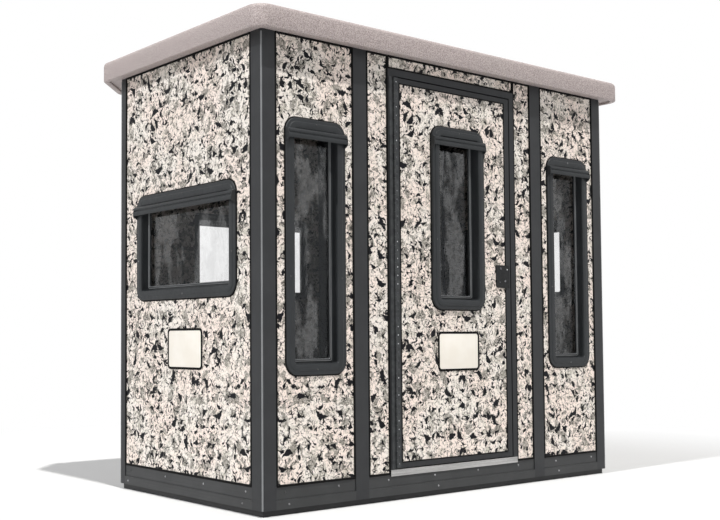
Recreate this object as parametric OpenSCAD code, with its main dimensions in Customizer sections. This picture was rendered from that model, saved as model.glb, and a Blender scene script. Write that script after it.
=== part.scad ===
/* [Cabin] */
// Length of the walls, along the door side
cabin_l = 2438; // [2340:1:2560]
// Depth of the walls
cabin_d = 1220; // [1180:1:1340]
// Height of the walls, from the ground to the roof's soffit
wall_h = 2130; // [2110:1:2260]
// Thickness of the insulated walls
wall_t = 48; // [44:1:56]
// How far the posts and sills stand proud of the wall panels
panel_set = 4; // [2:1:8]

/* [Base] */
// Thickness of the base board on the ground
base_h = 26; // [18:1:36]
// How far the base board is set back under the walls
base_set = 14; // [6:1:24]
// Height of the sill band above the base board
sill_h = 98; // [80:1:120]
// Thickness of the floor panel
floor_t = 38; // [20:1:60]

/* [Frame] */
// Width of a corner post's leg
post_w = 77; // [66:1:90]
// Depth of a back post's leg along the end walls
back_leg = 50; // [48:1:77]
// Radius of the corner bead on a post
post_r = 12; // [6:1:20]
// Width of a mullion
mullion_w = 83; // [70:1:96]
// Left edge of the mullion to the left of the door
mullion_left_x = 540; // [536:1:560]
// Left edge of the mullion to the right of the door
mullion_right_x = 1815; // [1800:1:1830]
// Left edge of the mullion in the back wall
mullion_back_x = 1310; // [1300:1:1340]

/* [Roof] */
// Overhang of the roof past the front wall
roof_front = 72; // [50:1:90]
// Overhang of the roof past the left end wall
roof_left = 72; // [60:1:100]
// Overhang of the roof past the right end wall
roof_right = 101; // [60:1:110]
// Overhang of the roof past the back wall
roof_back = 270; // [120:1:300]
// Size of the clipped back corners
roof_clip = 225; // [120:1:260]
// Radius of the roof's front corners, in plan
roof_corner_r = 72; // [60:1:140]
// Radius at both ends of a clipped back corner
roof_back_r = 40; // [20:1:60]
// Height of the roof's edge
fascia_h = 103; // [80:1:120]
// Rise of the crown above the edge
crown_h = 34; // [16:1:60]
// Radius of the rounded top edge
roof_edge_r = 20; // [12:1:40]
// Depth of the lip under the eaves
lip_h = 10; // [6:1:16]

/* [Door] */
// Left edge of the door's jamb
jamb_x = 762; // [750:1:776]
// Overall width across both jambs
jamb_span = 914; // [880:1:930]
// Width of a jamb's face
jamb_w = 33; // [28:1:40]
// Top of the door head
head_top = 2065; // [2040:1:2080]
// Height of the metal threshold
threshold_h = 22; // [16:1:30]
// Thickness of the door leaf
leaf_t = 36; // [30:1:38]
// How far the door's trim and jambs stand proud of the wall
trim_out = 2; // [0:0.5:4]
// Running gap beside the leaf
leaf_gap = 6; // [5:1:8]
// Width of the leaf's edge trim at its sides
stile_w = 35; // [28:1:40]
// Width of the leaf's edge trim at its top and bottom
rail_w = 24; // [18:1:32]
// Radius of the hinge's knuckle
knuckle_r = 5; // [4:0.5:6]

/* [Windows] */
// Width and height of a tall window's flange
tall_win = [350, 1152];
// Width and height of the wide windows' flange
wide_win = [861, 529];
// Width and height of the door window's flange
door_win = [379, 913];
// Bottom of the tall windows
tall_z = 606; // [560:1:640]
// Bottom of the wide windows
wide_z = 962; // [900:1:1000]
// Bottom of the door window
door_win_z = 909; // [880:1:940]
// Width of a window flange
flange_w = 50; // [44:1:56]
// Outer corner radius of a window flange
flange_r = 62; // [40:1:80]
// How far a flange stands off its panel
flange_t = 8; // [5:1:12]
// How far the door window's flange stands off the leaf
door_flange_t = 15; // [8:1:18]
// Width of the sash bars
sash_w = 23; // [16:1:30]
// Depth of the sash behind the panel's face
sash_set = 28; // [16:1:30]
// Distance from a flange's top down to the rain hood
hood_drop = 46; // [40:1:50]
// Height of the rain hood
hood_h = 52; // [40:1:60]
// How far the rain hood stands out from the panel
hood_out = 30; // [20:1:40]
// Wall thickness of the rain hood
hood_wall = 5; // [3:0.5:8]

/* [Hidden] */
$fn = 48;

half_l = cabin_l / 2;
half_d = cabin_d / 2;
sill_z = base_h + sill_h;
floor_z = base_h + floor_t;
panel_t = wall_t - panel_set;
sill_step = 42;
sill_lip = 4;
ceiling_t = 24;
fit_gap = 0.4;

// The roof cap's lip, the taper of its eave and how far in its crown starts
lip_w = 22;
eave_taper = 6;
crown_in = 300;

// Window places: centre along the wall, seen from outside with the wall's left end at 0
win_front_left_x = 309;
win_front_right_x = cabin_l - win_front_left_x;
win_end_y = 621;
win_back_wide_x = 826;
win_back_tall_x = 1877;
door_win_x = 1240;

// Height of a hood's upright brim, its thickness at the foot, and the end cheeks' run past it
hood_brim = 8;
hood_foot = 6;
hood_tail = 14;

// Door leaf, measured from the wall's left end
leaf_x0 = jamb_x + jamb_w + leaf_gap - 1;
leaf_x1 = jamb_x + jamb_span - jamb_w - leaf_gap - 1;
leaf_z0 = sill_z + threshold_h + leaf_gap;
leaf_z1 = head_top - jamb_w - leaf_gap;
hinge_gap = 0.6;
hinge_x = leaf_x0 - leaf_gap / 2;
hinge_y = -trim_out - knuckle_r - hinge_gap;
hinge_t = 2.4;
// Edges of the hinge's two leaves, from the jamb's and the door's own edges
hinge_fixed_in = 6;
hinge_leaf_in = 26;
stop_w = 20;
stop_t = 14;
stop_x = jamb_w + stop_w;
stop_y = leaf_t + 5;

// The plate's outline on the leaf
latch_x = 1523;
latch_z = 1027;
latch_w = 102;
latch_h = 118;
latch_t = 4;
latch_r = 16;

// Liner of a window frame through its wall, and the corner radii inside its flange
liner_w = 15;
liner_r = 27;
throat_r = 17;
sash_r = 8;
sash_t = 10;
glass_t = 4;

// Puts a shape that is drawn from the walls' left front corner into the part's frame
module at_front() {
    translate([-half_l, -half_d, 0]) children();
}

// Puts a shape drawn from the left end of a wall, seen from outside, onto that wall
module at_back() {
    rotate([0, 0, 180]) at_front() children();
}

module at_left() {
    rotate([0, 0, -90]) translate([-half_d, -half_l, 0]) children();
}

module at_right() {
    rotate([0, 0, 90]) translate([-half_d, -half_l, 0]) children();
}

// A block between two corners
module block(low, high) {
    translate(low) cube(high - low);
}

// A sheet standing in the XZ plane, its outer face at y0, made from a flat outline
module upright(y0, t) {
    translate([0, y0 + t, 0]) rotate([90, 0, 0]) linear_extrude(height = t) children();
}

module rounded_rect(size, r) {
    x = size[0] / 2 - r;
    y = size[1] / 2 - r;
    union() {
        square([size[0] - 2 * r, size[1]], center = true);
        square([size[0], size[1] - 2 * r], center = true);
        for (sx = [-1, 1], sy = [-1, 1]) translate([sx * x, sy * y]) circle(r = r);
    }
}

function shrink(size, by) = [size[0] - 2 * by, size[1] - 2 * by];

// The opening that a wall has behind a window flange
module window_hole(x, z, size) {
    translate([x, 0, z + size[1] / 2]) upright(-1, wall_t + 2)
        rounded_rect(shrink(size, flange_w - liner_w - fit_gap), liner_r);
}

module wall_panel(x0, x1, z0, z1) {
    block([x0, panel_set, z0], [x1, wall_t, z1]);
}

// Base and floor

module base_board() {
    color("#3c3e3d") block(
        [base_set - half_l, base_set - half_d, 0],
        [half_l - base_set, half_d - base_set, base_h]);
}

module floor_panel() {
    color("#55534f") block(
        [wall_t - half_l, wall_t - half_d, base_h],
        [half_l - wall_t, half_d - wall_t, floor_z]);
}

// A length of sill: a deep lower board with a thinner band over it
module sill(x0, x1) {
    block([x0, 0, base_h], [x1, wall_t, base_h + sill_step]);
    block([x0, sill_lip, base_h + sill_step], [x1, wall_t, sill_z]);
}

module sill_front() {
    color("#6a6f6f") at_front() {
        sill(post_w, mullion_left_x);
        sill(mullion_left_x + mullion_w, mullion_right_x);
        sill(mullion_right_x + mullion_w, cabin_l - post_w);
    }
}

module sill_back() {
    back_x = cabin_l - mullion_back_x;
    color("#6a6f6f") at_back() {
        sill(post_w, back_x - mullion_w);
        sill(back_x, cabin_l - post_w);
    }
}

module sill_left() {
    color("#6a6f6f") at_left() sill(back_leg, cabin_d - post_w);
}

module sill_right() {
    color("#6a6f6f") at_right() sill(post_w, cabin_d - back_leg);
}

// Posts and mullions

// An upright angle that wraps a corner of the walls, with a rounded outer bead
module corner_post(leg_x, leg_y) {
    color("#3d4040") translate([0, 0, base_h]) linear_extrude(height = wall_h - base_h)
        union() {
            translate([post_r, 0]) square([leg_x - post_r, wall_t]);
            translate([0, post_r]) square([wall_t, leg_y - post_r]);
            translate([post_r, post_r]) circle(r = post_r);
        }
}

module corner_post_front_left() {
    translate([-half_l, -half_d, 0]) corner_post(post_w, post_w);
}

module corner_post_front_right() {
    mirror([1, 0, 0]) corner_post_front_left();
}

module corner_post_back_left() {
    translate([-half_l, half_d, 0]) mirror([0, 1, 0]) corner_post(post_w, back_leg);
}

module corner_post_back_right() {
    mirror([1, 0, 0]) corner_post_back_left();
}

module mullion(x) {
    color("#3d4040") block([x, 0, base_h], [x + mullion_w, wall_t, wall_h]);
}

module front_mullion_left() {
    at_front() mullion(mullion_left_x);
}

module front_mullion_right() {
    at_front() mullion(mullion_right_x);
}

module back_mullion() {
    at_back() mullion(cabin_l - mullion_back_x - mullion_w);
}

// Wall panels

module front_panel_left() {
    color("#ebe4dc") at_front() difference() {
        wall_panel(post_w, mullion_left_x, sill_z, wall_h);
        window_hole(win_front_left_x, tall_z, tall_win);
    }
}

module front_panel_door_left() {
    color("#ebe4dc") at_front() wall_panel(mullion_left_x + mullion_w, jamb_x, sill_z, wall_h);
}

module front_panel_door_right() {
    color("#ebe4dc") at_front() wall_panel(jamb_x + jamb_span, mullion_right_x, sill_z, wall_h);
}

module front_panel_over_door() {
    color("#ebe4dc") at_front() wall_panel(jamb_x, jamb_x + jamb_span, head_top, wall_h);
}

module front_panel_right() {
    color("#ebe4dc") at_front() difference() {
        wall_panel(mullion_right_x + mullion_w, cabin_l - post_w, sill_z, wall_h);
        window_hole(win_front_right_x, tall_z, tall_win);
    }
}

module left_panel() {
    color("#ebe4dc") at_left() difference() {
        wall_panel(back_leg, cabin_d - post_w, sill_z, wall_h);
        window_hole(cabin_d - win_end_y, wide_z, wide_win);
    }
}

module right_panel() {
    color("#ebe4dc") at_right() difference() {
        wall_panel(post_w, cabin_d - back_leg, sill_z, wall_h);
        window_hole(win_end_y, wide_z, wide_win);
    }
}

module back_panel_left() {
    color("#ebe4dc") at_back() difference() {
        wall_panel(cabin_l - mullion_back_x, cabin_l - post_w, sill_z, wall_h);
        window_hole(cabin_l - win_back_wide_x, wide_z, wide_win);
    }
}

module back_panel_right() {
    color("#ebe4dc") at_back() difference() {
        wall_panel(post_w, cabin_l - mullion_back_x - mullion_w, sill_z, wall_h);
        window_hole(cabin_l - win_back_tall_x, tall_z, tall_win);
    }
}

// Roof

module ceiling_panel() {
    color("#4a4846") block(
        [wall_t - half_l, wall_t - half_d, wall_h - ceiling_t],
        [half_l - wall_t, half_d - wall_t, wall_h]);
}

// The roof's outline, drawn in by a distance: round front corners, clipped back corners
module roof_outline(in) {
    y0 = -half_d - roof_front + in;
    y1 = half_d + roof_back - in;
    hull() {
        for (end = [[-1, roof_left], [1, roof_right]]) {
            side = end[0];
            x = half_l + end[1] - in;
            translate([side * (x - roof_corner_r), y0 + roof_corner_r]) circle(r = roof_corner_r, $fn = 32);
            translate([side * (x - roof_back_r), y1 - roof_clip]) circle(r = roof_back_r, $fn = 16);
            translate([side * (x - roof_clip), y1 - roof_back_r]) circle(r = roof_back_r, $fn = 16);
        }
    }
}

module roof_slice(in, z) {
    translate([0, 0, z]) linear_extrude(height = 1) roof_outline(in);
}

module roof_cap() {
    edge_z = wall_h - lip_h + fascia_h;
    color("#c8bcb7") difference() {
        hull() {
            roof_slice(eave_taper, wall_h - lip_h);
            for (a = [0:22.5:90])
                roof_slice(roof_edge_r * (1 - cos(a)), edge_z - 1 - roof_edge_r * (1 - sin(a)));
            roof_slice(crown_in, edge_z + crown_h - 1);
        }
        translate([0, 0, wall_h - lip_h - 1]) linear_extrude(height = lip_h + 1)
            roof_outline(lip_w);
    }
}

// Door frame

// One jamb: a face strip through the wall, with a stop lip inside, lying towards +X
module jamb() {
    z0 = sill_z + threshold_h;
    block([0, -trim_out, z0], [jamb_w, wall_t, head_top - jamb_w]);
    block([jamb_w - 1, stop_y, z0], [stop_x, stop_y + stop_t, head_top - jamb_w]);
}

module door_jamb_hinge() {
    color("#2f3132") at_front() translate([jamb_x, 0, 0]) jamb();
}

module door_jamb_latch() {
    color("#2f3132") at_front() translate([jamb_x + jamb_span, 0, 0]) mirror([1, 0, 0]) jamb();
}

module door_head() {
    z = head_top - jamb_w;
    color("#2f3132") at_front() union() {
        block([jamb_x, -trim_out, z], [jamb_x + jamb_span, wall_t, head_top]);
        block([jamb_x + stop_x, stop_y, z - stop_w], [jamb_x + jamb_span - stop_x, stop_y + stop_t, z + 1]);
    }
}

module door_threshold() {
    color("#c9ccce") at_front() union() {
        block([jamb_x, -trim_out, sill_z], [jamb_x + jamb_span, wall_t, sill_z + threshold_h]);
        block([jamb_x, -trim_out, sill_z - 8], [jamb_x + jamb_span, 0, sill_z]);
    }
}

// Fixed leaf of the long hinge, with its knuckle
module hinge_barrel() {
    color("#8d9192") at_front() union() {
        translate([hinge_x, hinge_y, leaf_z0]) cylinder(r = knuckle_r, h = leaf_z1 - leaf_z0);
        block([jamb_x + hinge_fixed_in, -trim_out - hinge_t, leaf_z0], [hinge_x, -trim_out, leaf_z1]);
    }
}

// Door leaf

module door_panel() {
    color("#ebe4dc") at_front() difference() {
        block([leaf_x0 + stile_w, 0, leaf_z0 + rail_w], [leaf_x1 - stile_w, leaf_t, leaf_z1 - rail_w]);
        window_hole(door_win_x, door_win_z, door_win);
    }
}

module door_edge_trim() {
    color("#2f3132") at_front() difference() {
        block([leaf_x0, -trim_out, leaf_z0], [leaf_x1, leaf_t, leaf_z1]);
        block([leaf_x0 + stile_w, -trim_out - 1, leaf_z0 + rail_w],
            [leaf_x1 - stile_w, leaf_t + 1, leaf_z1 - rail_w]);
    }
}

module hinge_leaf() {
    color("#8d9192") at_front()
        block([hinge_x + knuckle_r + hinge_gap, -trim_out - hinge_t, leaf_z0],
            [leaf_x0 + hinge_leaf_in, -trim_out, leaf_z1]);
}

module latch_plate() {
    color("#2a2c2d") at_front() upright(-trim_out - latch_t, latch_t) translate([latch_x, latch_z]) union() {
        translate([latch_r, 0]) square([latch_w - latch_r, latch_h]);
        translate([0, latch_r]) square([latch_w, latch_h - latch_r]);
        translate([latch_r, latch_r]) circle(r = latch_r);
    }
}

// Windows

// The rain hood's end section, in the YZ plane, its back on the flange
module hood_section() {
    polygon([[0, 0], [-hood_out, -hood_h + hood_brim], [-hood_out, -hood_h],
        [-hood_out + hood_wall, -hood_h], [-hood_out + hood_wall, -hood_h + hood_foot],
        [0, -hood_wall * 2]]);
}

module hood(size) {
    x = size[0] / 2;
    translate([-x, 0, size[1] / 2 - hood_drop]) rotate([90, 0, 90])
        linear_extrude(height = size[0]) hood_section();
    for (left = [-x, x - hood_wall]) translate([left, 0, size[1] / 2 - hood_drop])
        rotate([90, 0, 90]) linear_extrude(height = hood_wall)
            polygon([[0, 0], [-hood_out, -hood_h + hood_brim], [-hood_out, -hood_h],
                [0, -hood_h - hood_tail]]);
}

// A window frame standing in a wall, its panel face at y = 0
module window_frame(size, stand, depth) {
    color("#32363a") union() {
        difference() {
            union() {
                upright(-stand, stand) rounded_rect(size, flange_r);
                upright(-1, depth + 1) rounded_rect(shrink(size, flange_w - liner_w), liner_r);
            }
            upright(-stand - 1, depth + stand + 2) rounded_rect(shrink(size, flange_w), throat_r);
        }
        difference() {
            upright(sash_set, sash_t) rounded_rect(shrink(size, flange_w - 1), throat_r);
            upright(sash_set - 1, sash_t + 2) rounded_rect(shrink(size, flange_w + sash_w), sash_r);
        }
        hood(size);
    }
}

module window_at(x, z, size) {
    translate([x, panel_set, z + size[1] / 2]) children();
}

module pane(size) {
    color([0.75, 0.83, 0.85, 0.4]) upright(sash_set + 3, glass_t)
        rounded_rect(shrink(size, flange_w + sash_w + fit_gap / 2), sash_r);
}

module door_window_frame() {
    at_front() translate([0, -panel_set, 0]) window_at(door_win_x, door_win_z, door_win)
        window_frame(door_win, door_flange_t, leaf_t);
}

module door_window_glass() {
    at_front() translate([0, -panel_set, 0]) window_at(door_win_x, door_win_z, door_win) pane(door_win);
}

module window_frame_front_left() {
    at_front() window_at(win_front_left_x, tall_z, tall_win) window_frame(tall_win, flange_t, panel_t);
}

module window_frame_front_right() {
    at_front() window_at(win_front_right_x, tall_z, tall_win) window_frame(tall_win, flange_t, panel_t);
}

module window_frame_left() {
    at_left() window_at(cabin_d - win_end_y, wide_z, wide_win) window_frame(wide_win, flange_t, panel_t);
}

module window_frame_right() {
    at_right() window_at(win_end_y, wide_z, wide_win) window_frame(wide_win, flange_t, panel_t);
}

module window_frame_back_wide() {
    at_back() window_at(cabin_l - win_back_wide_x, wide_z, wide_win)
        window_frame(wide_win, flange_t, panel_t);
}

module window_frame_back_tall() {
    at_back() window_at(cabin_l - win_back_tall_x, tall_z, tall_win)
        window_frame(tall_win, flange_t, panel_t);
}

module window_glass_front() {
    at_front() for (x = [win_front_left_x, win_front_right_x]) window_at(x, tall_z, tall_win) pane(tall_win);
}

module window_glass_ends() {
    at_left() window_at(cabin_d - win_end_y, wide_z, wide_win) pane(wide_win);
    at_right() window_at(win_end_y, wide_z, wide_win) pane(wide_win);
}

module window_glass_back() {
    at_back() window_at(cabin_l - win_back_wide_x, wide_z, wide_win) pane(wide_win);
    at_back() window_at(cabin_l - win_back_tall_x, tall_z, tall_win) pane(tall_win);
}

base_board();
floor_panel();
sill_front();
sill_back();
sill_left();
sill_right();
corner_post_front_left();
corner_post_front_right();
corner_post_back_left();
corner_post_back_right();
front_mullion_left();
front_mullion_right();
back_mullion();
front_panel_left();
front_panel_door_left();
front_panel_door_right();
front_panel_over_door();
front_panel_right();
left_panel();
right_panel();
back_panel_left();
back_panel_right();
ceiling_panel();
roof_cap();
door_jamb_hinge();
door_jamb_latch();
door_head();
door_threshold();
hinge_barrel();
door_panel();
door_edge_trim();
hinge_leaf();
latch_plate();
door_window_frame();
door_window_glass();
window_frame_front_left();
window_frame_front_right();
window_frame_left();
window_frame_right();
window_frame_back_wide();
window_frame_back_tall();
window_glass_front();
window_glass_ends();
window_glass_back();
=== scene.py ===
import math

import bmesh
import bpy
import numpy as np
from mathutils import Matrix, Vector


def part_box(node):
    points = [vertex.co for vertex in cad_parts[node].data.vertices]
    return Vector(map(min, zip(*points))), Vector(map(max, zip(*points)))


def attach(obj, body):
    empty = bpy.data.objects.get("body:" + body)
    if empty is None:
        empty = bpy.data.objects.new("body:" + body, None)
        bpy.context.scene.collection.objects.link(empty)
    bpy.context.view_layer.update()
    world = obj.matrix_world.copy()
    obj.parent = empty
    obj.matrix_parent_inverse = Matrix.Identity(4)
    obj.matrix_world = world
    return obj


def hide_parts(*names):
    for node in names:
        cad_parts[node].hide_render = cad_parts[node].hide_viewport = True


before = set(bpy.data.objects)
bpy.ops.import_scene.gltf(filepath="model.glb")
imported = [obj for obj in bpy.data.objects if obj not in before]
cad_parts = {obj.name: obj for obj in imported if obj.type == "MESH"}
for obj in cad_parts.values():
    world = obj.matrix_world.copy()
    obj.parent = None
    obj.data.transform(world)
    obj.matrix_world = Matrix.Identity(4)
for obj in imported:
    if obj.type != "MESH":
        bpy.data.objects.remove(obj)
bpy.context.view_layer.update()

# ---------------------------------------------------------------- view and studio
# The cabin is seen from its front left corner at sitting height, on a pale studio floor.
# One sun stands high in front of the door side and another high off the left end.
scene = bpy.context.scene
scene.view_settings.view_transform = "Standard"

eye = bpy.data.cameras.new("eye")
eye.sensor_width = 36
eye.lens = 54.33
eye.shift_x = 0.1175
eye.shift_y = 0.0383
camera = bpy.data.objects.new("eye", eye)
camera.location = (-4.054, -4.359, 0.777)
camera.rotation_euler = [math.radians(a) for a in (92.60, 0.234, -37.81)]
scene.collection.objects.link(camera)
scene.camera = camera


def lamp(name, kind, direction, energy, **settings):
    """A lamp that shines from direction (a vector from the cabin) towards the cabin's middle."""
    data = bpy.data.lights.new(name, kind)
    data.energy = energy
    for key, value in settings.items():
        setattr(data, key, value)
    ob = bpy.data.objects.new(name, data)
    away = np.array(direction, float)
    ob.location = away + np.array([0, 0, 1.1])
    tilt = math.atan2(math.hypot(away[0], away[1]), away[2])
    ob.rotation_euler = (tilt, 0, math.atan2(away[1], away[0]) + math.pi / 2)
    scene.collection.objects.link(ob)
    return ob


lamp("door_side", "SUN", (-0.3, -3.0, 6.9), 3.05, angle=math.radians(1.5), color=(1.0, 0.99, 0.97))
lamp("left_end", "SUN", (-6.0, -0.3, 5.4), 2.05, angle=math.radians(1.5), color=(0.98, 0.99, 1.0))


class Wire:
    """A node's output, so that maths on it can be written as an expression."""

    def __init__(self, paint, socket):
        self.paint = paint
        self.socket = socket

    def _math(self, operation, *values, clamp=False):
        return self.paint.node("ShaderNodeMath", {"operation": operation, "use_clamp": clamp}, *values)

    def __add__(self, other):
        return self._math("ADD", self, other)

    def __radd__(self, other):
        return self._math("ADD", other, self)

    def __sub__(self, other):
        return self._math("SUBTRACT", self, other)

    def __rsub__(self, other):
        return self._math("SUBTRACT", other, self)

    def __mul__(self, other):
        return self._math("MULTIPLY", self, other)

    def __rmul__(self, other):
        return self._math("MULTIPLY", other, self)

    def __truediv__(self, other):
        return self._math("DIVIDE", self, other)

    def __abs__(self):
        return self._math("ABSOLUTE", self)

    def __lt__(self, other):
        return self._math("LESS_THAN", self, other)

    def __gt__(self, other):
        return self._math("GREATER_THAN", self, other)

    def either(self, other):
        return self._math("MAXIMUM", self, other)

    def ramp(self, low, high, to_low=0.0, to_high=1.0):
        """Smooth step from to_low, at low, to to_high, at high."""
        return self.paint.node(
            "ShaderNodeMapRange", {"interpolation_type": "SMOOTHSTEP"}, self, low, high, to_low, to_high)


class Paint:
    """A material and its shader, with one method that adds any node."""

    def __init__(self, name):
        self.material = bpy.data.materials.new(name)
        self.material.use_nodes = True
        self.tree = self.material.node_tree
        self.shader = self.tree.nodes["Principled BSDF"]

    def node(self, kind, settings, *values, out=0):
        made = self.tree.nodes.new(kind)
        for key, value in settings.items():
            setattr(made, key, value)
        for place, value in enumerate(values):
            if value is not None:
                self.feed(made.inputs[place], value)
        return Wire(self, made.outputs[out])

    def feed(self, socket, value):
        if isinstance(value, Wire):
            self.tree.links.new(value.socket, socket)
        elif isinstance(value, tuple) and socket.type == "RGBA":
            socket.default_value = (*value, 1.0)
        else:
            socket.default_value = value

    def set(self, **sockets):
        for name, value in sockets.items():
            self.feed(self.shader.inputs[name.replace("_", " ")], value)
        return self

    def other(self, wire, place):
        return Wire(self, wire.socket.node.outputs[place])

    def place(self):
        return self.other(self.node("ShaderNodeTexCoord", {}), "Object")

    def noise(self, where, scale, detail=2.0, roughness=0.5):
        return self.node("ShaderNodeTexNoise", {}, where, None, scale, detail, roughness)

    def mix(self, factor, first, second):
        made = self.tree.nodes.new("ShaderNodeMix")
        made.data_type = "RGBA"
        self.feed(made.inputs["Factor"], factor)
        self.feed(made.inputs[6], first)
        self.feed(made.inputs[7], second)
        return Wire(self, made.outputs[2])

    def bump(self, height, strength, distance=0.001):
        made = self.tree.nodes.new("ShaderNodeBump")
        made.inputs["Strength"].default_value = strength
        made.inputs["Distance"].default_value = distance
        self.feed(made.inputs["Height"], height)
        return Wire(self, made.outputs[0])


# The world is even, and white wherever the camera, gloss or glass looks at it.
world = bpy.data.worlds.new("studio")
world.use_nodes = True
scene.world = world
sky = world.node_tree
backdrop = sky.nodes["Background"]
backdrop.inputs["Color"].default_value = (1.0, 1.0, 1.0, 1.0)
rays = sky.nodes.new("ShaderNodeLightPath")
seen = rays.outputs["Is Camera Ray"]
for other_ray in ("Is Glossy Ray", "Is Transmission Ray"):
    join = sky.nodes.new("ShaderNodeMath")
    join.operation = "MAXIMUM"
    sky.links.new(seen, join.inputs[0])
    sky.links.new(rays.outputs[other_ray], join.inputs[1])
    seen = join.outputs[0]
level = sky.nodes.new("ShaderNodeMapRange")
level.inputs["To Min"].default_value = 0.38
level.inputs["To Max"].default_value = 1.0
sky.links.new(seen, level.inputs["Value"])
sky.links.new(level.outputs[0], backdrop.inputs["Strength"])


def surface(name, vertices, faces):
    """A piece at the origin from arrays in metres, its faces turned outwards, sharp past 35 degrees."""
    mesh = bpy.data.meshes.new(name)
    mesh.from_pydata(np.asarray(vertices).tolist(), [], [list(map(int, face)) for face in faces])
    shell = bmesh.new()
    shell.from_mesh(mesh)
    bmesh.ops.recalc_face_normals(shell, faces=shell.faces)
    shell.to_mesh(mesh)
    shell.free()
    mesh.polygons.foreach_set("use_smooth", [True] * len(mesh.polygons))
    mesh.set_sharp_from_angle(angle=math.radians(35))
    ob = bpy.data.objects.new(name, mesh)
    scene.collection.objects.link(ob)
    return ob


floor_radius = 40.0
turns = np.linspace(0, 2 * math.pi, 96, endpoint=False)
studio_floor = surface(
    "studio_floor",
    np.c_[floor_radius * np.cos(turns), floor_radius * np.sin(turns), np.full(96, -0.001)],
    [list(range(96))])
ground = Paint("studio_floor")
ground.set(Base_Color=(0.62, 0.62, 0.62), Roughness=0.9)
reach = ground.node("ShaderNodeVectorMath", {"operation": "LENGTH"}, ground.place())
reach = ground.other(reach, "Value")
glow = ground.node("ShaderNodeEmission", {}, (1.0, 1.0, 1.0), 1.0)
blend_out = ground.tree.nodes.new("ShaderNodeMixShader")
ground.feed(blend_out.inputs[0], reach.ramp(1.9, 4.2))
ground.tree.links.new(ground.shader.outputs[0], blend_out.inputs[1])
ground.tree.links.new(glow.socket, blend_out.inputs[2])
ground.tree.links.new(blend_out.outputs[0], ground.tree.nodes["Material Output"].inputs[0])
studio_floor.data.materials.append(ground.material)


# ---------------------------------------------------------------- printed wall panels
# Smooth plastic skins with an off-white winter foliage print: black flecks, thin dark twigs
# and grey smudges. The pattern runs along each wall, so it is drawn on length and height.
panel_nodes = [
    "front_panel_left", "front_panel_door_left", "front_panel_door_right", "front_panel_over_door",
    "front_panel_right", "left_panel", "right_panel", "back_panel_left", "back_panel_right", "door_panel"]


# Inner faces of the walls are nearer the middle than these; there the print is painted dark, as painted
# shade for the dim inside seen through the tinted panes.
inner_depth = 0.580
inner_length = 1.190


def wear_finish(ob, paint):
    """Puts a finish on every slot of a piece."""
    ob.data.materials.clear()
    ob.data.materials.append(paint.material)


def finish_nodes(paint, *names):
    """Puts a finish on CAD nodes, keeping their material slots."""
    for name in names:
        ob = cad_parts[name]
        if not ob.material_slots:
            ob.data.materials.append(paint.material)
        for held in ob.material_slots:
            held.material = paint.material


def flecks(paint, where, cell, length, width, share, curve, seed):
    """One random leaf or twig in a share of the cells of a jittered grid, of cell size in metres.

    A fleck is a bent lens: in its own turned axes, |x| / length + |y + curve x^2| / width is under 1.
    """
    shift = (seed, seed * 0.7, 0.0)
    moved = paint.node("ShaderNodeMapping", {}, where, shift, None, (1 / cell, 1 / cell, 1.0))
    near = paint.node("ShaderNodeTexVoronoi", {"voronoi_dimensions": "2D"}, moved, None, 1.0)
    chance = paint.node("ShaderNodeSeparateColor", {}, paint.other(near, "Color"))
    off = paint.node(
        "ShaderNodeVectorMath", {"operation": "SUBTRACT"}, moved, paint.other(near, "Position"))
    turned = paint.node("ShaderNodeVectorRotate", {"rotation_type": "Z_AXIS"})
    paint.feed(turned.socket.node.inputs["Vector"], off)
    paint.feed(turned.socket.node.inputs["Angle"], chance * (2 * math.pi))
    axes = paint.node("ShaderNodeSeparateXYZ", {}, turned)
    along = axes * cell
    across = paint.other(axes, "Y") * cell
    size = 0.55 + paint.other(chance, "Blue") * 0.6
    lens = abs(along) / (size * length) + abs(across + along * along * curve) / (size * width)
    held = paint.other(chance, "Green") < share
    return lens.ramp(0.96, 1.10, 1.0, 0.0) * held


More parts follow.
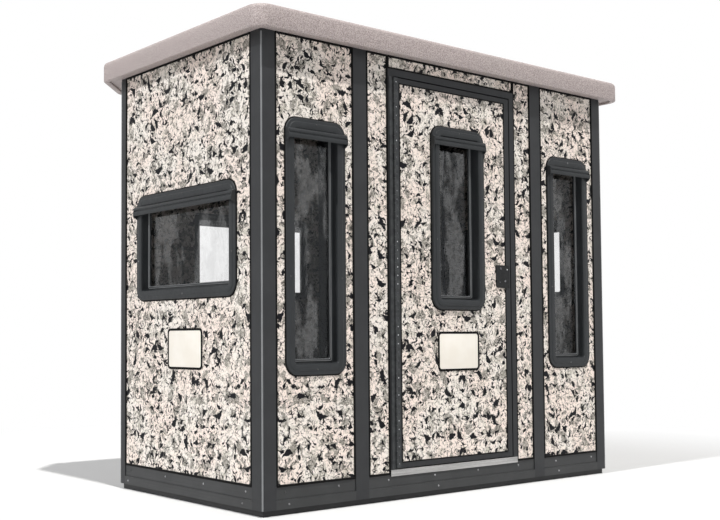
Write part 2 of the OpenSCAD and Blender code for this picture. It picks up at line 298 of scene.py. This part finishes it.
def foliage_print(name):
    paint = Paint(name)
    spot = paint.node("ShaderNodeSeparateXYZ", {}, paint.place())
    depth = paint.other(spot, "Y")
    flat = paint.node("ShaderNodeCombineXYZ", {}, spot + depth, paint.other(spot, "Z"), 0.0)
    shake = paint.noise(flat, 85.0, 2.0)
    shake = paint.node("ShaderNodeVectorMath", {"operation": "MULTIPLY_ADD"},
                       paint.other(shake, "Color"), (0.018, 0.018, 0.0), (-0.009, -0.009, 0.0))
    rough = paint.node("ShaderNodeVectorMath", {"operation": "ADD"}, flat, shake)
    clumps = paint.noise(flat, 9.0, 3.0, 0.6).ramp(0.3, 0.7, -0.22, 0.30)
    slow = paint.noise(flat, 4.0, 3.0)
    tone = paint.mix(slow.ramp(0.40, 0.62), (0.90, 0.78, 0.71), (0.86, 0.80, 0.74))
    haze = paint.noise(rough, 22.0, 4.0, 0.65)
    tone = paint.mix(haze.ramp(0.50, 0.66) * 0.62, tone, (0.42, 0.40, 0.33))
    grain = paint.noise(rough, 105.0, 3.0, 0.62)
    tone = paint.mix(grain.ramp(0.49, 0.66) * 0.62, tone, (0.27, 0.25, 0.21))
    smudge = flecks(paint, rough, 0.095, 0.046, 0.022, 0.60 + clumps, 9.0, 3.1)
    smudge = smudge.either(flecks(paint, rough, 0.060, 0.030, 0.013, 0.50 + clumps, -14.0, 41.7))
    tone = paint.mix(smudge * grain.ramp(0.35, 0.58, 0.45, 1.0), tone, (0.25, 0.235, 0.205))
    veins = abs(paint.noise(rough, 30.0, 2.0, 0.55) - 0.5).ramp(0.004, 0.013, 1.0, 0.0)
    tone = paint.mix(veins * haze.ramp(0.40, 0.55) * 0.85, tone, (0.07, 0.06, 0.05))
    twigs = flecks(paint, rough, 0.036, 0.024, 0.0034, 0.80, 26.0, 11.3)
    twigs = twigs.either(flecks(paint, rough, 0.024, 0.015, 0.0026, 0.75, -38.0, 5.9))
    tone = paint.mix(twigs * 0.85, tone, (0.075, 0.065, 0.055))
    dark = flecks(paint, rough, 0.074, 0.040, 0.0150, 0.36 + clumps, 14.0, 17.7)
    dark = dark.either(flecks(paint, rough, 0.046, 0.029, 0.0086, 0.38 + clumps, -26.0, 7.3))
    dark = dark.either(flecks(paint, rough, 0.027, 0.0165, 0.0048, 0.40 + clumps, 44.0, 23.9))
    tone = paint.mix(dark, tone, (0.004, 0.004, 0.006))
    # Painted shade: the print goes near black on the walls' inner faces.
    inner_painted_shade = (abs(depth) < inner_depth) * (abs(spot) < inner_length)
    tone = paint.mix(inner_painted_shade * 0.62, tone, (0.014, 0.015, 0.015))
    peel = paint.noise(paint.place(), 260.0, 2.0)
    return paint.set(Base_Color=tone, Roughness=0.6, Specular_IOR_Level=0.15,
                     Normal=paint.bump(peel, 0.12, 0.0006))


winter_print = foliage_print("winter_print")
finish_nodes(winter_print, *panel_nodes)


# ---------------------------------------------------------------- posts, mullions and sills
# Extruded charcoal plastic angles and flat cover strips with fine grooves along their length,
# screwed through the sills into the base.
def extrusion(name, tint, streak):
    """Plastic with long fine die lines and a faint cloud of dust."""
    paint = Paint(name)
    where = paint.place()
    lines = paint.node("ShaderNodeMapping", {}, where, None, None, streak)
    lines = paint.noise(lines, 1.0, 3.0, 0.6)
    cloud = paint.noise(where, 7.0, 4.0, 0.6)
    light = tuple(min(1.0, c * 1.28 + 0.004) for c in tint)
    tone = paint.mix(cloud.ramp(0.35, 0.7) * 0.6 + lines * 0.3, tint, light)
    return paint.set(Base_Color=tone, Roughness=lines.ramp(0.3, 0.7, 0.42, 0.55), Specular_IOR_Level=0.3,
                     Normal=paint.bump(lines, 0.18, 0.0006))


upright_plastic = extrusion("charcoal_uprights", (0.020, 0.021, 0.023), (420.0, 420.0, 1.5))
finish_nodes(upright_plastic, "corner_post_front_left", "corner_post_front_right", "corner_post_back_left",
             "corner_post_back_right", "front_mullion_left", "front_mullion_right", "back_mullion")
sill_plastic = extrusion("charcoal_sills", (0.031, 0.032, 0.033), (2.0, 2.0, 480.0))
finish_nodes(sill_plastic, "sill_front", "sill_back", "sill_left", "sill_right")
base_plastic = extrusion("base_board_black", (0.010, 0.010, 0.011), (3.0, 3.0, 300.0))
finish_nodes(base_plastic, "base_board")


# Light grey round beads run up the outer corners of the posts, half sunk and short of both ends: a painted
# highlight for the light caught along the posts' rounded corners.
bead_radius = 0.0042
bead_inset = 0.0045
bead_foot = 0.002
bead_top = 0.012
highlight_bead_plastic = extrusion("corner_highlight_beads", (0.17, 0.175, 0.18), (420.0, 420.0, 1.5))


def tube(start, end, radius, sides=10):
    """Vertices and faces of a capped round bar: a circle about the line, at both its ends."""
    start, end = np.array(start, float), np.array(end, float)
    run = (end - start) / np.linalg.norm(end - start)
    side = np.cross(run, [0.31, 0.17, 0.93] if abs(run[2]) < 0.9 else [1.0, 0.2, 0.0])
    side /= np.linalg.norm(side)
    up = np.cross(run, side)
    turn = np.linspace(0, 2 * math.pi, sides, endpoint=False)[:, None]
    circle = radius * (np.cos(turn) * side + np.sin(turn) * up)
    near = np.arange(sides)
    after = np.roll(near, -1)
    quads = np.c_[near, after, after + sides, near + sides].tolist()
    return np.r_[start + circle, end + circle], quads + [near[::-1].tolist(), (near + sides).tolist()]


def gather(name, parts):
    """One piece from many (vertices, faces) pairs, each numbered on from the last."""
    vertices, faces, count = [], [], 0
    for points, loops in parts:
        vertices.append(points)
        faces += [[count + corner for corner in loop] for loop in loops]
        count += len(points)
    return surface(name, np.concatenate(vertices), faces)


post_low, post_high = (np.array(c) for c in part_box("corner_post_front_left"))
corner_x = -post_low[0] - bead_inset
corner_y = -post_low[1] - bead_inset
beads = gather("corner_highlight_beads", [
    tube((sx * corner_x, sy * corner_y, post_low[2] + bead_foot),
         (sx * corner_x, sy * corner_y, post_high[2] - bead_top), bead_radius)
    for sx in (-1, 1) for sy in (-1, 1)])
wear_finish(beads, highlight_bead_plastic)
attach(beads, "cabin")


# ---------------------------------------------------------------- gaskets
# Black rubber beads press against every panel's edge, where it meets the posts, sills, jambs
# and roof. Each is half sunk in the joint, so a round bar stands for it.
gasket_radius = 0.0056
rubber = Paint("gasket_rubber")
rubber_cloud = rubber.noise(rubber.place(), 60.0, 2.0)
rubber.set(Base_Color=rubber.mix(rubber_cloud.ramp(0.3, 0.7), (0.002, 0.002, 0.002), (0.005, 0.005, 0.005)),
           Roughness=0.75, Specular_IOR_Level=0.12)


def edge_bars(node, facing, lift, radius, sides="lrbt"):
    """Round bars along the four edges of a panel's outer face. facing is the outward axis and its sign."""
    low, high = (np.array(c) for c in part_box(node))
    axis, sign = facing
    along = 1 - axis
    out = (high if sign > 0 else low)[axis] + sign * lift

    def spot(a, z):
        point = np.zeros(3)
        point[along], point[axis], point[2] = a, out, z
        return point

    a0, a1 = low[along] + radius * 0.7, high[along] - radius * 0.7
    z0, z1 = low[2] + radius * 0.7, high[2] - radius * 0.7
    lines = {"l": (spot(a0, z0), spot(a0, z1)), "r": (spot(a1, z0), spot(a1, z1)),
             "b": (spot(a0, z0), spot(a1, z0)), "t": (spot(a0, z1), spot(a1, z1))}
    return [tube(*lines[side], radius) for side in sides]


facings = {"front": (1, -1), "left": (0, -1), "right": (0, 1), "back": (1, 1)}
wall_bars = []
for node in panel_nodes:
    if node != "door_panel":
        wall_bars += edge_bars(node, facings[node.split("_panel")[0]], 0.0012, gasket_radius)
wall_gaskets = gather("panel_gaskets", wall_bars)
wear_finish(wall_gaskets, rubber)
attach(wall_gaskets, "cabin")
door_gasket = gather("door_panel_gasket", edge_bars("door_panel", facings["front"], 0.0008, 0.0032))
wear_finish(door_gasket, rubber)
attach(door_gasket, "door")


# ---------------------------------------------------------------- window frames
# Moulded charcoal frames clamp the walls: an outer flange with round corners, a throat, a sash
# set well back, and a two-step rain hood whose cheeks taper back at both ends.
frame_plastic = extrusion("window_mouldings", (0.016, 0.018, 0.020), (70.0, 70.0, 70.0))
frame_section = np.array([
    (35, 43), (35, 0.3), (0.5, 0.3), (0, -2), (0.8, -5.5), (3.5, -8), (17, -8.4), (19, -10), (22, -10.6),
    (43, -10.6), (47.5, -9.4), (49.8, -5), (50, 0), (50, 24), (51, 27.5), (53, 28), (60, 28), (61.5, 26.6),
    (70, 26.6), (73, 29), (73, 37.5), (50.5, 38), (50.5, 43)]) / 1000
hood_section = np.array([
    (0, 0), (-14, -5), (-24, -9), (-28, -13), (-29, -18), (-28.6, -23), (-25, -25.5), (-24.6, -29),
    (-28.8, -32), (-30, -36), (-30, -49), (-28.5, -52), (-26, -50), (-25, -38), (-12, -22), (0, -14)]) / 1000
cheek_section = np.array([
    (0, 0), (-14, -5), (-25, -10), (-30, -34), (-30, -52), (-22, -60), (-9, -68), (0, -68)]) / 1000
hood_drop = 0.046
flange_radius = 0.062
cheek = 0.005


def rounded_loop(width, height, radius, steps=9):
    """Points round a rectangle with quarter circles at its corners, steps to each."""
    turn = np.linspace(0, math.pi / 2, steps)
    loop = []
    for quarter, (sx, sz) in enumerate(((1, 1), (-1, 1), (-1, -1), (1, -1))):
        arc = turn + quarter * math.pi / 2
        loop.append(np.c_[sx * (width / 2 - radius) + radius * np.cos(arc),
                          sz * (height / 2 - radius) + radius * np.sin(arc)])
    return np.concatenate(loop)


def loft(rings, closed=False):
    """Vertices and quads of a skin over rings with equal counts, round and, if closed, end to end."""
    count = len(rings[0])
    rows = len(rings)
    grid = np.arange(rows * count).reshape(rows, count)
    below = grid if closed else grid[:-1]
    above = np.roll(grid, -1, axis=0) if closed else grid[1:]
    quads = np.stack([below, np.roll(below, -1, 1), np.roll(above, -1, 1), above], -1).reshape(-1, 4)
    return np.concatenate(rings), quads.tolist()


def bead_loop(width, height, radius, y, thick):
    """A round bead along a rounded rectangle at depth y: the rectangle carried round a small circle."""
    rings = []
    for lean in np.linspace(0, 2 * math.pi, 8, endpoint=False):
        out = thick * math.cos(lean)
        flat = rounded_loop(width + 2 * out, height + 2 * out, radius + out)
        rings.append(np.c_[flat[:, 0], np.full(len(flat), y + thick * math.sin(lean)), flat[:, 1]])
    return loft(rings, closed=True)


def prism(section, x0, x1):
    """A side section (y, z) carried straight from x0 to x1, with closed ends."""
    rings = [np.c_[np.full(len(section), x), section] for x in (x0, x1)]
    points, quads = loft(rings)
    count = len(section)
    return points, quads + [list(range(count))[::-1], list(range(count, 2 * count))]


def stand_on_wall(points, node, facing, hood=0.030):
    """Turns points drawn for the door side to a wall's facing, about the node's middle on its panel."""
    low, high = (np.array(c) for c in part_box(node))
    axis, sign = facing
    angle = {(1, -1): 0.0, (0, 1): math.pi / 2, (1, 1): math.pi, (0, -1): -math.pi / 2}[facing]
    middle = (low + high) / 2
    middle[axis] = (high if sign > 0 else low)[axis] - sign * hood
    cos, sin = math.cos(angle), math.sin(angle)
    turn = np.array([[cos, -sin, 0], [sin, cos, 0], [0, 0, 1]])
    return points @ turn.T + middle


def dome(centre, facing, radius, height, sides=10):
    """A low screw head: rings of a flattened sphere about the outward axis, on its wall."""
    axis, sign = facing
    turn = np.linspace(0, 2 * math.pi, sides, endpoint=False)
    rings = []
    for lean in (0.0, 0.45, 0.95, 1.4):
        ring = np.zeros((sides, 3))
        ring[:, 1 - axis] = radius * math.cos(lean) * np.cos(turn)
        ring[:, 2] = radius * math.cos(lean) * np.sin(turn)
        ring[:, axis] = sign * height * math.sin(lean)
        rings.append(ring + centre)
    points, quads = loft(rings)
    return points, quads + [list(range(sides)), list(range(3 * sides, 4 * sides))]


# Each frame's wall and body, and how far its flange stands off the wall, in millimetres.
flange_stand = 8.4
door_flange_stand = 15.0
windows = {
    "window_frame_front_left": ("front", "cabin", flange_stand),
    "window_frame_front_right": ("front", "cabin", flange_stand),
    "window_frame_left": ("left", "cabin", flange_stand),
    "window_frame_right": ("right", "cabin", flange_stand),
    "window_frame_back_wide": ("back", "cabin", flange_stand),
    "window_frame_back_tall": ("back", "cabin", flange_stand),
    "door_window_frame": ("front", "door", door_flange_stand)}
screws = {"cabin": [], "door": []}
flange_seals = {"cabin": [], "door": []}
sash_highlight_beads = {"cabin": [], "door": []}
seal_radius = 0.0052
sash_bead_insets = (0.0622, 0.0694)
sash_bead_depth = 0.0262
sash_bead_radius = 0.0017
sash_corner = 0.010
for node, (side, body, stand) in windows.items():
    facing = facings[side]
    low, high = (np.array(c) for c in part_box(node))
    width = (high - low)[1 - facing[0]]
    height = (high - low)[2]
    rings = []
    for inset, y in frame_section:
        flat = rounded_loop(width - 2 * inset, height - 2 * inset, max(flange_radius - inset, 0.010))
        lift = y * stand / flange_stand if y < 0 else y
        rings.append(np.c_[flat[:, 0], np.full(len(flat), lift), flat[:, 1]])
    points, quads = loft(rings, closed=True)
    moulding = surface(node + "_moulding", stand_on_wall(points, node, facing), quads)
    wear_finish(moulding, frame_plastic)
    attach(moulding, body)
    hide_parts(node)
    points, quads = bead_loop(width, height, flange_radius, 0.0, seal_radius)
    flange_seals[body].append((stand_on_wall(points, node, facing), quads))
    # Two pale beads round each sash, a painted highlight on its edges.
    for inset in sash_bead_insets:
        points, quads = bead_loop(
            width - 2 * inset, height - 2 * inset, sash_corner, sash_bead_depth, sash_bead_radius)
        sash_highlight_beads[body].append((stand_on_wall(points, node, facing), quads))
    drop = np.array([0, height / 2 - hood_drop])
    hood_parts = [prism(hood_section + drop, -width / 2 + cheek, width / 2 - cheek)]
    for x in (-width / 2, width / 2 - cheek):
        hood_parts.append(prism(cheek_section + drop, x, x + cheek))
    hood = gather(node.replace("frame", "hood"), [
        (stand_on_wall(points, node, facing), loops) for points, loops in hood_parts])
    soften = hood.modifiers.new("soft_edges", "BEVEL")
    soften.width = 0.0011
    soften.segments = 2
    soften.limit_method = "ANGLE"
    wear_finish(hood, frame_plastic)
    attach(hood, body)
    rim = 0.024
    for x, z in ((0, height / 2 - rim), (0, rim - height / 2), (width / 2 - rim, -height * 0.12),
                 (rim - width / 2, -height * 0.12)):
        spot = stand_on_wall(np.array([[x, -(stand + 2) / 1000, z]]), node, facing)[0]
        screws[body].append(dome(spot, facing, 0.0046, 0.0022))

# Pale beads edge both sides of each sash: a painted highlight on the sash edges, in the same light grey as
# the corner beads.
for body, parts in sash_highlight_beads.items():
    beads = gather(body + "_sash_beads", parts)
    wear_finish(beads, highlight_bead_plastic)
    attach(beads, body)

for body, parts in flange_seals.items():
    seals = gather(body + "_flange_seals", parts)
    wear_finish(seals, rubber)
    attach(seals, body)

# Thin mirrored film on the acrylic panes, its mirror colour mottled by darker upright streaks and specks: a
# painted reflection of branches mirrored in the panes.
pane_acrylic = Paint("filmed_panes")
where = pane_acrylic.place()
# Painted reflection: upright streaks and fine specks darken the film's mirror colour.
reflection_streaks = pane_acrylic.node("ShaderNodeMapping", {}, where, None, None, (9.0, 9.0, 3.2))
reflection_streaks = pane_acrylic.noise(reflection_streaks, 1.0, 5.0, 0.62)
reflection_specks = pane_acrylic.noise(where, 46.0, 3.0, 0.6)
film = pane_acrylic.mix(reflection_streaks.ramp(0.47, 0.54), (0.16, 0.17, 0.18), (0.72, 0.73, 0.74))
film = pane_acrylic.mix(reflection_specks.ramp(0.5, 0.62) * 0.6, film, (0.20, 0.21, 0.21))
pane_acrylic.set(Base_Color=film, Metallic=1.0, Roughness=0.08, Alpha=0.075)
finish_nodes(pane_acrylic, "window_glass_front", "window_glass_ends", "window_glass_back",
             "door_window_glass")


# ---------------------------------------------------------------- roof cap
# One moulded cap of pale warm grey plastic with a fine stipple. Its edge turns down over the
# walls, round along the top, with a lip under the eaves and clipped corners at the back.
roof_low, roof_high = (np.array(c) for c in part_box("roof_cap"))
roof_corner = 0.072
roof_back_corner = 0.040
roof_clip = 0.225
roof_levels = np.array([
    (22, 10), (22, 1), (20.5, 0), (5, 0), (1.5, 1.5), (0, 6), (0, 82), (1, 89), (3.6, 95), (7.5, 99.4),
    (12.5, 102), (19, 103.2), (40, 105), (120, 115), (300, 137)]) / 1000


def roof_loop(inset):
    """The cap's outline drawn in by inset: an arc at each of its six corners, front ones larger."""
    y0, y1 = roof_low[1] + inset, roof_high[1] - inset
    halves = []
    for sign, end in ((1, roof_high[0]), (-1, -roof_low[0])):
        x = end - inset
        corners = [((x - roof_corner, y0 + roof_corner), roof_corner, -90, 0),
                   ((x - roof_back_corner, y1 - roof_clip), roof_back_corner, 0, 45),
                   ((x - roof_clip, y1 - roof_back_corner), roof_back_corner, 45, 90)]
        arcs = []
        for centre, radius, first, last in corners:
            arc = np.radians(np.linspace(first, last, 12))
            arcs.append(np.c_[centre[0] + radius * np.cos(arc), centre[1] + radius * np.sin(arc)])
        halves.append(np.concatenate(arcs) * [sign, 1])
    return np.r_[halves[0], halves[1][::-1]]


rings = []
for inset, lift in roof_levels:
    flat = roof_loop(inset)
    rings.append(np.c_[flat, np.full(len(flat), roof_low[2] + min(lift, roof_high[2] - roof_low[2]))])
points, quads = loft(rings)
count = len(rings[0])
caps = [list(range(count)), list(range(len(points) - count, len(points)))]
roof = surface("roof_shell", points, quads + caps)
roof_plastic = Paint("roof_stipple")
where = roof_plastic.place()
stipple = roof_plastic.noise(where, 210.0, 4.0, 0.8)
cloud = roof_plastic.noise(where, 3.0, 4.0, 0.6)
tone = roof_plastic.mix(stipple.ramp(0.36, 0.64), (0.20, 0.165, 0.16), (0.56, 0.48, 0.465))
tone = roof_plastic.mix(cloud.ramp(0.4, 0.75) * 0.18, tone, (0.38, 0.35, 0.33))
roof_plastic.set(Base_Color=tone, Roughness=0.62, Normal=roof_plastic.bump(stipple, 0.35, 0.0012))
wear_finish(roof, roof_plastic)
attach(roof, "cabin")
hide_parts("roof_cap")


# ---------------------------------------------------------------- door trim, hinge and threshold
# Near-black extrusions edge the door and its opening; the threshold is a bare aluminium strip,
# and a long hinge of satin steel runs up the left side with a rivet to each knuckle.
trim_plastic = extrusion("door_extrusions", (0.014, 0.015, 0.017), (300.0, 300.0, 3.0))
finish_nodes(trim_plastic, "door_jamb_hinge", "door_jamb_latch", "door_head", "door_edge_trim")

mill_metal = Paint("mill_aluminium")
rolled = mill_metal.node("ShaderNodeMapping", {}, mill_metal.place(), None, None, (3.0, 240.0, 600.0))
rolled = mill_metal.noise(rolled, 1.0, 4.0, 0.65)
scuff = mill_metal.noise(mill_metal.place(), 30.0, 3.0)
mill_metal.set(
    Base_Color=mill_metal.mix(rolled.ramp(0.3, 0.7), (0.24, 0.24, 0.24), (0.56, 0.55, 0.54)),
    Metallic=0.85, Roughness=scuff.ramp(0.3, 0.7, 0.3, 0.5), Normal=mill_metal.bump(rolled, 0.2, 0.0005))
finish_nodes(mill_metal, "door_threshold")

barrel_low, barrel_high = (np.array(c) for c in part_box("hinge_barrel"))
leaf_low, leaf_high = (np.array(c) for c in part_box("hinge_leaf"))
knuckle_radius = 0.005
knuckle_gap = 0.0012
knuckle_count = 46
knuckle_pitch = (barrel_high[2] - barrel_low[2]) / knuckle_count
pin = np.array([barrel_high[0] - knuckle_radius, barrel_low[1] + knuckle_radius])
plate_y = (leaf_low[1], leaf_high[1])
satin = Paint("hinge_satin")
satin_cloud = satin.noise(satin.place(), 45.0, 3.0)
satin.set(Base_Color=satin.mix(satin_cloud.ramp(0.3, 0.7), (0.030, 0.032, 0.034), (0.055, 0.058, 0.060)),
          Metallic=0.6, Roughness=0.42)


def slab(low, high):
    """A plain strip between two corners, as a loft of its two ends."""
    (x0, y0, z0), (x1, y1, z1) = low, high
    square = np.array([(x0, y0), (x1, y0), (x1, y1), (x0, y1)])
    points, quads = loft([np.c_[square, np.full(4, z)] for z in (z0, z1)])
    return points, quads + [[3, 2, 1, 0], [4, 5, 6, 7]]


for body, node, first, strip in (
        ("cabin", "hinge_barrel", 0, (barrel_low[0], pin[0] - 0.001)),
        ("door", "hinge_leaf", 1, (leaf_low[0], leaf_high[0]))):
    knuckles = [slab((strip[0], plate_y[0], barrel_low[2]), (strip[1], plate_y[1], barrel_high[2]))]
    for place in range(first, knuckle_count, 2):
        foot = barrel_low[2] + place * knuckle_pitch + knuckle_gap / 2
        knuckles.append(tube((*pin, foot), (*pin, foot + knuckle_pitch - knuckle_gap), knuckle_radius, 12))
    half = gather(node + "_knuckles", knuckles)
    wear_finish(half, satin)
    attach(half, body)
    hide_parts(node)

# Rivets down the door's hinge leaf, bright where the paint has rubbed.
rivets = gather("hinge_rivets", [
    dome(np.array([leaf_low[0] + 0.011, plate_y[0], barrel_low[2] + (place + 0.5) * knuckle_pitch]),
         facings["front"], 0.0034, 0.0018, 8) for place in range(knuckle_count)])
rivet_metal = Paint("rubbed_rivets")
rivet_cloud = rivet_metal.noise(rivet_metal.place(), 22.0, 2.0)
rivet_metal.set(
    Base_Color=rivet_metal.mix(rivet_cloud.ramp(0.45, 0.6), (0.08, 0.08, 0.09), (0.55, 0.56, 0.58)),
    Metallic=0.7, Roughness=0.35)
wear_finish(rivets, rivet_metal)
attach(rivets, "door")


# ---------------------------------------------------------------- latch
# A satin black plate with one round corner, fixed over the latch and held by bright button bolts.
latch_low = np.array(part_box("latch_plate")[0])
latch_paint = Paint("latch_black")
latch_cloud = latch_paint.noise(latch_paint.place(), 80.0, 3.0)
latch_paint.set(
    Base_Color=latch_paint.mix(latch_cloud.ramp(0.3, 0.7), (0.006, 0.006, 0.007), (0.014, 0.014, 0.015)),
    Roughness=0.38, Specular_IOR_Level=0.2)
finish_nodes(latch_paint, "latch_plate")
latch_face = latch_low[1]
bolt_spots = [(0.035, 0.100), (0.070, 0.036), (0.084, 0.096), (0.026, 0.030)]
bolts = gather("latch_bolts", [
    dome(np.array([latch_low[0] + x, latch_face, latch_low[2] + z]), facings["front"], radius, 0.003, 14)
    for (x, z), radius in zip(bolt_spots, (0.0062, 0.0062, 0.0042, 0.0042))])
wear_finish(bolts, rivet_metal)
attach(bolts, "door")


# ---------------------------------------------------------------- blank plates
# A plain cream plate with a dark rim is fixed low on the door and on the left wall. Both are bare.
plate_cream = Paint("plate_cream")
plate_cloud = plate_cream.noise(plate_cream.place(), 9.0, 3.0)
plate_cream.set(
    Base_Color=plate_cream.mix(plate_cloud.ramp(0.35, 0.7), (0.80, 0.75, 0.67), (0.84, 0.80, 0.73)),
    Roughness=0.45)
plate_size = (0.300, 0.196)
plate_rim = 0.011
plate_corner = 0.022
door_plate_x, door_plate_z = 0.019, 0.702
left_plate_y, left_plate_z = 0.004, 0.722
door_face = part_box("door_panel")[0][1]
left_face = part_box("left_panel")[0][0]
plates = {"door": ((door_plate_x, door_face, door_plate_z), "front", "door"),
          "left": ((left_face, left_plate_y, left_plate_z), "left", "cabin")}
for name, (spot, side, body) in plates.items():
    axis, sign = facings[side]
    for part, section, paint in (
            ("plate", ((0, 0.0), (0, -0.0014), (0.002, -0.0018)), plate_cream),
            ("plate_rim", ((0, 0.0), (0, -0.0026), (plate_rim, -0.0026), (plate_rim, 0.0)), rubber)):
        rings = []
        for inset, y in section:
            flat = rounded_loop(
                plate_size[0] - 2 * inset, plate_size[1] - 2 * inset, plate_corner - inset * 0.8, 6)
            ring = np.zeros((len(flat), 3))
            ring[:, 1 - axis] = flat[:, 0]
            ring[:, 2] = flat[:, 1]
            ring[:, axis] = -sign * y
            rings.append(ring + np.array(spot))
        points, quads = loft(rings, closed=part == "plate_rim")
        if part == "plate":
            count = len(rings[0])
            quads += [list(range(count)), list(range(2 * count, 3 * count))]
        ob = surface(f"{name}_{part}", points, quads)
        wear_finish(ob, paint)
        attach(ob, body)


# ---------------------------------------------------------------- floor, ceiling and screws
# Streaked rubber on the floor and a lining overhead, both near black as painted shade for the dim inside,
# and zinc screws through sills and flanges.
mat_rubber = extrusion("floor_matting", (0.020, 0.020, 0.019), (40.0, 160.0, 10.0))
finish_nodes(mat_rubber, "floor_panel")
lining = extrusion("ceiling_lining", (0.022, 0.022, 0.022), (90.0, 90.0, 90.0))
finish_nodes(lining, "ceiling_panel")

for node, facing in (("sill_front", facings["front"]), ("sill_back", facings["back"]),
                     ("sill_left", facings["left"]), ("sill_right", facings["right"])):
    low, high = (np.array(c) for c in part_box(node))
    axis, sign = facing
    out = (high if sign > 0 else low)[axis]
    run = np.linspace(low[1 - axis] + 0.05, high[1 - axis] - 0.05, 8 if axis == 1 else 4)
    for place, a in enumerate(run):
        for z, back, along in ((high[2] - 0.024, 0.004, a), (low[2] + 0.020, 0.0, a + 0.02)):
            if back or place % 3 == 0:
                centre = np.zeros(3)
                centre[axis], centre[1 - axis], centre[2] = out - sign * back, along, z
                screws["cabin"].append(dome(centre, facing, 0.0052, 0.0024))
zinc = Paint("zinc_screws")
zinc_cloud = zinc.noise(zinc.place(), 14.0, 2.0)
zinc.set(Base_Color=zinc.mix(zinc_cloud.ramp(0.42, 0.6), (0.05, 0.05, 0.05), (0.32, 0.32, 0.33)),
         Metallic=0.6, Roughness=0.4)
for body, parts in screws.items():
    heads = gather(body + "_screws", parts)
    wear_finish(heads, zinc)
    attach(heads, body)
